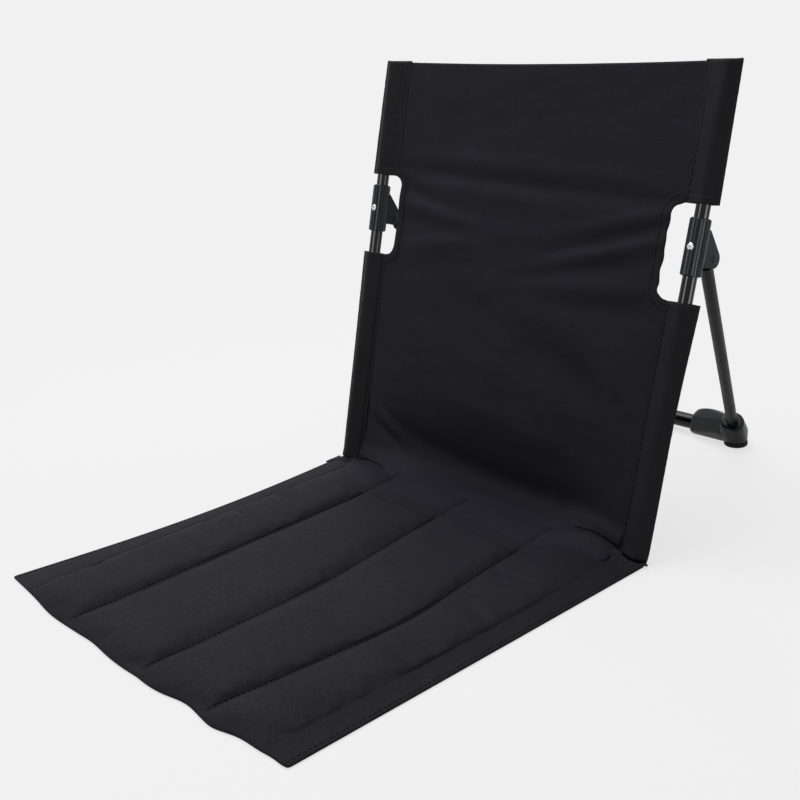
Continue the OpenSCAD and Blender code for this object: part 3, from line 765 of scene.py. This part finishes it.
def hem_faces(piece):
    """Gives the mat's flat side hems painted tones: the left hem a paler copy of the cloth as painted
    light, the right hem a darker copy as painted shade.
    """
    uses = np.zeros(len(piece.data.polygons), int)
    middles = np.zeros(len(piece.data.polygons) * 3)
    piece.data.polygons.foreach_get("center", middles)
    middles = middles.reshape(-1, 3) / MM
    y = middles[:, 1] - FOLD_Y
    unslipped = middles[:, 0] - seam_shift(middles[:, 0], y) - left_waist(middles[:, 0], y)
    uses[unslipped < SEAMS[0]] = 1
    uses[unslipped > SEAMS[-1]] = 2
    piece.data.polygons.foreach_set("material_index", uses)


def panel_half(up):
    """Half width of the panel, cut back in the notches; its edge there lies inside the hem."""
    low = NOTCH_LOW + NOTCH_IN
    high = NOTCH_HIGH - NOTCH_IN
    off = np.maximum(np.maximum(low - up, up - high), 0)
    inner = np.sqrt(np.maximum(HEM_R ** 2 - off ** 2, 0))
    return splayed(up) + np.where(off >= HEM_R, SEAM_X + 0.8, SEAM_X - inner + 2.2)


def panel_path(x, along):
    """The cloth's way up from the mat, as rounded corners between straight runs: distance behind
    the fold line, height, length run, and how far it has come from the valley."""
    valley_up = eased(x, FOOT_X, VALLEY_UP)
    valley_deep = eased(x, FOOT_X, VALLEY_DEEP)
    ramp = eased(x, FOOT_X, RAMP_AHEAD)
    low_z = SEAM_H + 5.0 * foot_middle(x)
    plane = np.stack([np.full_like(x, LEAN_SIN), np.full_like(x, LEAN_COS)])
    back = np.stack([np.full_like(x, LEAN_COS), np.full_like(x, -LEAN_SIN)])
    start = np.stack([-foot_low(x), low_z])
    foot = np.stack([-ramp, low_z])
    heel = plane * eased(x, FOOT_X, HEEL_UP) + back * eased(x, FOOT_X, HEEL_DEEP)
    valley = plane * valley_up + back * valley_deep
    shoulder = plane * (valley_up + SHOULDER_RUN) + back * valley_deep * SHOULDER_SHARE
    join = plane * (valley_up + VALLEY_RUN)
    top = plane * BACK_H
    stops = [start, foot, heel, valley, shoulder, join, top]
    runs = [np.linalg.norm(b - a, axis=0) for a, b in zip(stops[:-1], stops[1:])]
    ways = [(b - a) / run for a, b, run in zip(stops[:-1], stops[1:], runs)]
    marks = np.cumsum([np.zeros_like(x), *runs], axis=0)
    place = np.zeros_like(x)
    for k in range(6):
        low, high = STOP_SHARES[k:k + 2]
        part = np.clip((along - low) / (high - low), 0, 1)
        place += part * runs[k]
    wide = 3 + 0.25 * valley_deep
    rounds = [3 + 0.9 * ramp, wide, wide, 3 + 0.4 * valley_deep, np.full_like(x, 24.0)]
    point = stops[0] + ways[0] * place
    for k in range(5):
        off = place - marks[k + 1]
        point = point + (ways[k + 1] - ways[k]) * (off + np.sqrt(off ** 2 + rounds[k] ** 2)) / 2
    return point[0], point[1], place, place - marks[2], runs[1]


def back_panel(finish):
    piece, across, along = new_grid("back_cloth", *BACK_GRID)
    run = BACK_H * along
    x_share = 2 * across - 1
    guess = x_share * SEAM_X
    for _ in range(2):
        y, z, length, past, ramp_run = panel_path(guess, along)
        up = y * LEAN_SIN + z * LEAN_COS
        guess = x_share * panel_half(up)
    x = guess
    behind = y * LEAN_COS - z * LEAN_SIN
    loose = np.maximum(step_up(past, 6, 60), step_up(-x, 104, 128) * step_up(up, 14, 26))
    sag = -2.2 * bump(up, BACK_H, 26) * (1 - (x / SEAM_X) ** 2)
    behind = behind + back_depth(x, up) * loose
    crease_up = eased(x, FOOT_X, CREASE_UP, 6)
    crease_deep = eased(x, FOOT_X, CREASE_DEEP, 6)
    behind = behind + crease_deep * bump(up, crease_up, 1.7)
    behind = behind - 0.5 * crease_deep * bump(up, crease_up + 8, 5)
    up = up + 0.8 * crease_deep * bump(up, crease_up - 5, 4)
    places = back_place(x, behind, up + sag)
    lying = 1 - step_up(past + ramp_run, -4, 14)
    crown = mat_height(x - seam_shift(x, y), y) - SEAM_H
    ramp_share = np.clip(1 + past / np.maximum(ramp_run, 1), 0, 1)
    groove = (crown - CROWN_H + SEAM_H) * (1 - step_up(ramp_share, 0.05, 0.6))
    rise = (crown - 5.0 * foot_middle(x)) * lying + 0.5 * groove * (1 - lying)
    dip = -0.45 - FOOT_SUNK * (1 - foot_share(x, y))
    places[:, 2] += (rise + dip * lying) * MM
    set_points(piece, places)
    set_cloth_map(piece, x, length)
    piece.data.materials.append(finish["back"])
    thicken(piece, BACK_T)
    smooth(piece)
    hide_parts("back_panel")
    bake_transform(piece)


# Sleeves and hems

def sleeve_section(share, swell, inside, out):
    """One turn of the flat pocket round the tube: across and depth for shares from 0 to 1."""
    angle = 2 * math.pi * share
    tube = TUBE_R + swell
    reach = np.where(np.cos(angle) >= 0, out, inside)
    flat = np.cos(angle) * reach
    radius = np.maximum(tube * tube - flat * flat, 0) ** 0.5
    tangent = tube * tube / reach
    slope = tube * np.sqrt(np.maximum(1 - (tube / reach) ** 2, 0)) / (reach - tangent)
    straight = np.maximum(reach - np.abs(flat), 0) * slope
    height = np.where(np.abs(flat) < tangent, radius, straight)
    height = np.maximum(height, 0.9) * np.sign(np.sin(angle) + 1e-9)
    return flat, height


# How far the outer edge is drawn in, left and right: of a lower sleeve in its middle, and of an
# upper one at its top
LOWER_DRAWN = {-1: 0.6, 1: 2.4}
UPPER_DRAWN = {-1: 1.2, 1: 3.6}


def sleeve(name, side, low, high, shut_low, finish, seed):
    piece, across, along = new_grid(name, *SLEEVE_GRID)
    up = low + (high - low) * along
    swell = 0.3 + 0.5 * ripple(np.cos(across * 2 * math.pi) * 12 + side * 40, up, 9, 38, seed)
    from_shut = (up - low) if shut_low else (high - up)
    from_open = (high - up) if shut_low else (up - low)
    hem = 0.5 * (1 - step_up(from_open, 6.2, 7.4)) - 0.4 * bump(from_open, 6.9, 0.8)
    if shut_low:
        inside = np.full_like(up, SEAM_IN)
        out = SLEEVE_OUT - (SLEEVE_OUT - SLEEVE_OUT_LOW) * (1 - along)
        out = out - LOWER_DRAWN[side] * bump(up, 130, 80)
    else:
        inside = SEAM_IN + (4 * along if side > 0 else 4.5)
        out = SLEEVE_OUT - 0.8 - UPPER_DRAWN[side] * along
    flat, height = sleeve_section(across, swell + hem, inside, out)
    closing = np.sqrt(np.clip(1 - (1 - from_shut / 3.0).clip(0, 1) ** 2, 0, 1))
    height = height * (0.12 + 0.88 * closing)
    inner = 1 - step_up(np.abs(flat + SEAM_IN - 3), 1.5, 8)
    outer = 1 - step_up(np.abs(flat - out), 1.0, 6)
    pucker = (0.35 * inner + 0.25 * outer) * ripple(flat, up, 6, 4.6, seed + 3)
    sewn = bump(flat, SLEEVE_SEWN - SEAM_IN, 0.9) + 0.6 * bump(flat, out - 2.4, 0.9)
    groove = -0.45 * np.sign(height) * sewn
    point = 0 if shut_low else 0.5 * bump(from_shut, 0, 7) * step_up(flat, 4, out)
    toe = -1.0 * bump(from_shut, 0, 5) * shut_low
    x = side * (UPRIGHT_X + splayed(up) + flat)
    set_points(piece, back_place(x, height + pucker + groove + toe, up + point))
    set_cloth_map(piece, flat * 1.4, up)
    weld(piece)
    piece.data.materials.append(finish["sleeve"])
    outwards(piece)
    thicken(piece, TRIM_T, -1.0)
    smooth(piece)
    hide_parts(name.replace("_cloth", ""))
    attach(piece, "back")


def corner(side, finish):
    """The cloth at a corner, where the mat's hem turns up in front of the sleeve's foot."""
    name = hand(side) + "_corner_cloth"
    piece, across, along = new_grid(name, *CORNER_GRID)
    inside = SEAM_X - 9
    outside = SEAT_HALF - 0.4 + (2.6 if side > 0 else -0.6) * bump(along, 0.7, 0.25)
    x = inside + (outside - inside) * across
    tube_x = UPRIGHT_X + splayed(0)
    front_of_tube = -2.2 - (TUBE_R - 0.6) * np.sqrt(np.clip(1 - ((x - tube_x) / 11) ** 2, 0, 1))
    front = np.clip(along / 0.66, 0, 1)
    under = np.clip((along - 0.66) / 0.34, 0, 1)
    y = -24 + (front_of_tube + 22.5) * front + (2.5 - front_of_tube) * under ** 1.5
    lip = (4.2 if side > 0 else 3.2) + 3.6 * (1 - step_up(x, 168, 197))
    crest = (lip - SEAM_H) * step_up(front, 0.3, 1.0) ** 1.6
    z = SEAM_H + 0.25 + crest * (1 - under) ** 3 - (SEAM_H - 1.1) * step_up(under, 0, 0.6)
    z = z - 0.45 * (1 - step_up(along, 0, 0.3)) + 0.2 * ripple(x, y, 9, 7, 31.0 + side) * (1 - under)
    set_points(piece, np.stack([side * x, y + FOLD_Y, z], axis=1) * MM)
    set_cloth_map(piece, x, y)
    # The corner cloth takes the darker copy of the mat's cloth, as painted shade
    piece.data.materials.append(finish["hem_painted_shade"])
    thicken(piece, TRIM_T)
    smooth(piece)
    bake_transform(piece)


def notch_way(share, inward):
    """A way round the notch at a distance inward from the seam: across from the seam, and up."""
    low = NOTCH_LOW + NOTCH_IN
    high = NOTCH_HIGH - NOTCH_IN
    arc = math.pi / 2 * TAPE_TURN_R
    total = 2 * arc + high - low
    along = share * total
    turn_low = np.clip(along / arc, 0, 1) * math.pi / 2
    turn_high = np.clip((along - arc - (high - low)) / arc, 0, 1) * math.pi / 2
    climb = np.clip(along - arc, 0, high - low)
    up = low - inward * np.cos(turn_low) + climb + inward * np.sin(turn_high)
    across = -inward * np.sin(turn_low) * np.cos(turn_high)
    return across, up


def notch_hem(side, finish):
    """The folded tape round a notch. The right one has pulled out of shape."""
    name = hand(side) + "_notch_tape"
    piece, around, share = new_grid(name, *TAPE_GRID)
    angle = 2 * math.pi * around
    wobble = 0.25 if side < 0 else 1.0
    edge = wobble * ripple(share * 110, share * 0, 11, 5, 21.0 + side)
    wide = np.sign(np.cos(angle)) * np.abs(np.cos(angle)) ** 0.55
    thick = np.sign(np.sin(angle)) * np.abs(np.sin(angle)) ** 0.75
    inward = TAPE_MIDDLE + 4.9 * wide + edge * (1 - 0.5 * wide)
    across, up = notch_way(share, inward)
    seam_line = 0.3 * bump(inward, TAPE_SEWN, 0.8)
    half = 1.25 + 0.2 * ripple(share * 110, inward, 7, 5, 25.0 + side) - seam_line
    x = side * (seam_at(up) + across)
    set_points(piece, back_place(x, back_depth(x, up) + half * thick, up))
    set_cloth_map(piece, inward, share * TAPE_LEN)
    weld(piece)
    edit_all(piece, lambda: bpy.ops.mesh.fill_holes(sides=0))
    piece.data.materials.append(finish["sleeve"])
    outwards(piece)
    smooth(piece)
    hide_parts(("left" if side < 0 else "right") + "_notch_hem")
    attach(piece, "back")


def foot_shell(side, finish):
    """The closed skin of a foot, drawn tight over its barrel and over its cup round the leg."""
    word = hand(side)
    low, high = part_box(word + "_foot")
    cup = max(abs(low[0]), abs(high[0])) - CUP_WIDTH * MM
    walls = np.array([v.co for v in frame["nodes"][word + "_foot"].data.vertices])
    parts = []
    for kept in (walls[np.abs(walls[:, 0]) < cup + 3 * MM], walls[np.abs(walls[:, 0]) > cup]):
        mesh = bpy.data.meshes.new(word + "_foot_shell")
        mesh.from_pydata(kept.tolist(), [], [])
        part = bpy.data.objects.new(word + "_foot_shell", mesh)
        bpy.context.scene.collection.objects.link(part)
        edit_all(part, lambda: bpy.ops.mesh.convex_hull())
        parts.append(part)
    piece = choose(parts[0])
    parts[1].select_set(True)
    bpy.ops.object.join()
    finer = piece.modifiers.new("even", "REMESH")
    finer.mode = "VOXEL"
    finer.voxel_size = 0.7 * MM
    rounder = piece.modifiers.new("rounded", "SMOOTH")
    rounder.iterations = 22
    fuller = piece.modifiers.new("fuller", "DISPLACE")
    fuller.strength = 0.8 * MM
    fuller.mid_level = 0
    finish_modifiers(piece)
    piece.data.materials.append(finish["foot"])
    smooth(piece)
    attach(piece, "rear_frame")


# Stitches

def stitch_shape():
    """One short stitch of thread along X."""
    deselect()
    bpy.ops.mesh.primitive_uv_sphere_add(segments=7, ring_count=5, radius=1)
    piece = bpy.context.object
    shape = points_of(piece)[:, (2, 1, 0)] * (STITCH_LENGTH / 2, STITCH_R, STITCH_R) * MM
    faces = [tuple(face.vertices) for face in piece.data.polygons]
    bpy.data.objects.remove(piece)
    return shape, faces


def even_points(line):
    """Points along a line at one stitch's spacing, with the line's direction there."""
    steps = np.linalg.norm(np.diff(line, axis=0), axis=1)
    length = np.concatenate([[0], np.cumsum(steps)])
    count = max(2, int(length[-1] / (STITCH_STEP * MM)))
    marks = (np.arange(count) + 0.5) / count * length[-1]
    spots = np.stack([np.interp(marks, length, line[:, k]) for k in range(3)], axis=1)
    ends = np.stack([np.interp(marks + 0.5 * MM, length, line[:, k]) for k in range(3)], axis=1)
    ways = ends - spots
    return spots, ways / np.maximum(np.linalg.norm(ways, axis=1), 1e-9)[:, None]


def stitches(name, lines, body, finish):
    """Sews every line with copies of one stitch, as one piece."""
    shape, faces = stitch_shape()
    places = []
    polygons = []
    for line in lines:
        spots, ways = even_points(line)
        for spot, way in zip(spots, ways):
            turned = np.array(Vector(way).to_track_quat("X", "Z").to_matrix())
            first = len(places) * len(shape)
            places.append(shape @ turned.T + spot)
            polygons.extend(tuple(first + k for k in face) for face in faces)
    mesh = bpy.data.meshes.new(name)
    mesh.from_pydata(np.concatenate(places).tolist(), [], polygons)
    piece = bpy.data.objects.new(name, mesh)
    bpy.context.scene.collection.objects.link(piece)
    piece.data.materials.append(finish["thread"])
    smooth(piece)
    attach(piece, body)


def back_lines():
    """Seams of the sleeves and the notch hems, on the back's front face."""
    lines = []
    for side in (-1, 1):
        for low, high in ((SLEEVE_LOW + 6, NOTCH_LOW - 2), (NOTCH_HIGH + 2, SLEEVE_TOP - 4)):
            up = np.linspace(low, high, 80)
            x = side * (UPRIGHT_X + splayed(up) + SLEEVE_SEWN - SEAM_IN)
            lines.append(back_place(x, np.full_like(x, -1.75), up))
        share = np.linspace(0.03, 0.97, 90)
        across, up = notch_way(share, TAPE_SEWN)
        x = side * (seam_at(up) + across)
        lines.append(back_place(x, back_depth(x, up) - 1.2, up))
    return lines


def mat_lines(piece):
    """Seams of the mat and the stitching inside its edge, laid on its upper face."""
    bpy.context.view_layer.update()
    places = [(seam - STITCH_BESIDE, -52.0) for seam in SEAMS[:-1]]
    places += [(side * (SEAT_HALF - 5), -SEAT_REAR - 6) for side in (-1, 1)]
    lines = []
    for across, rear in places:
        y = np.linspace(-SEAT_LEN - 2, rear, 90)
        x = np.full_like(y, across)
        x = x + seam_shift(x, y) + left_waist(x, y)
        line = []
        for px, py in zip(x * MM, (y + FOLD_Y) * MM):
            hit, place, _, _ = piece.ray_cast(Vector((px, py, 60 * MM)), Vector((0, 0, -1)))
            if hit:
                line.append((place.x, place.y, place.z + 0.1 * MM))
        lines.append(np.array(line))
    return lines


camera()
finish = finishes()
studio()
dress_nodes(finish)
back_panel(finish)
for side in (-1, 1):
    word = hand(side)
    sleeve(word + "_upper_sleeve_cloth", side, NOTCH_HIGH, SLEEVE_TOP, False, finish, 5.0 + side)
    sleeve(word + "_lower_sleeve_cloth", side, SLEEVE_LOW, NOTCH_LOW, True, finish, 9.0 + side)
    notch_hem(side, finish)
    corner(side, finish)
    foot_shell(side, finish)
seat = mat(finish)
stitches("back_stitching", back_lines(), "back", finish)
stitches("seat_stitching", mat_lines(seat), "seat", finish)

view = bpy.context.scene.view_settings
view.view_transform = "Standard"
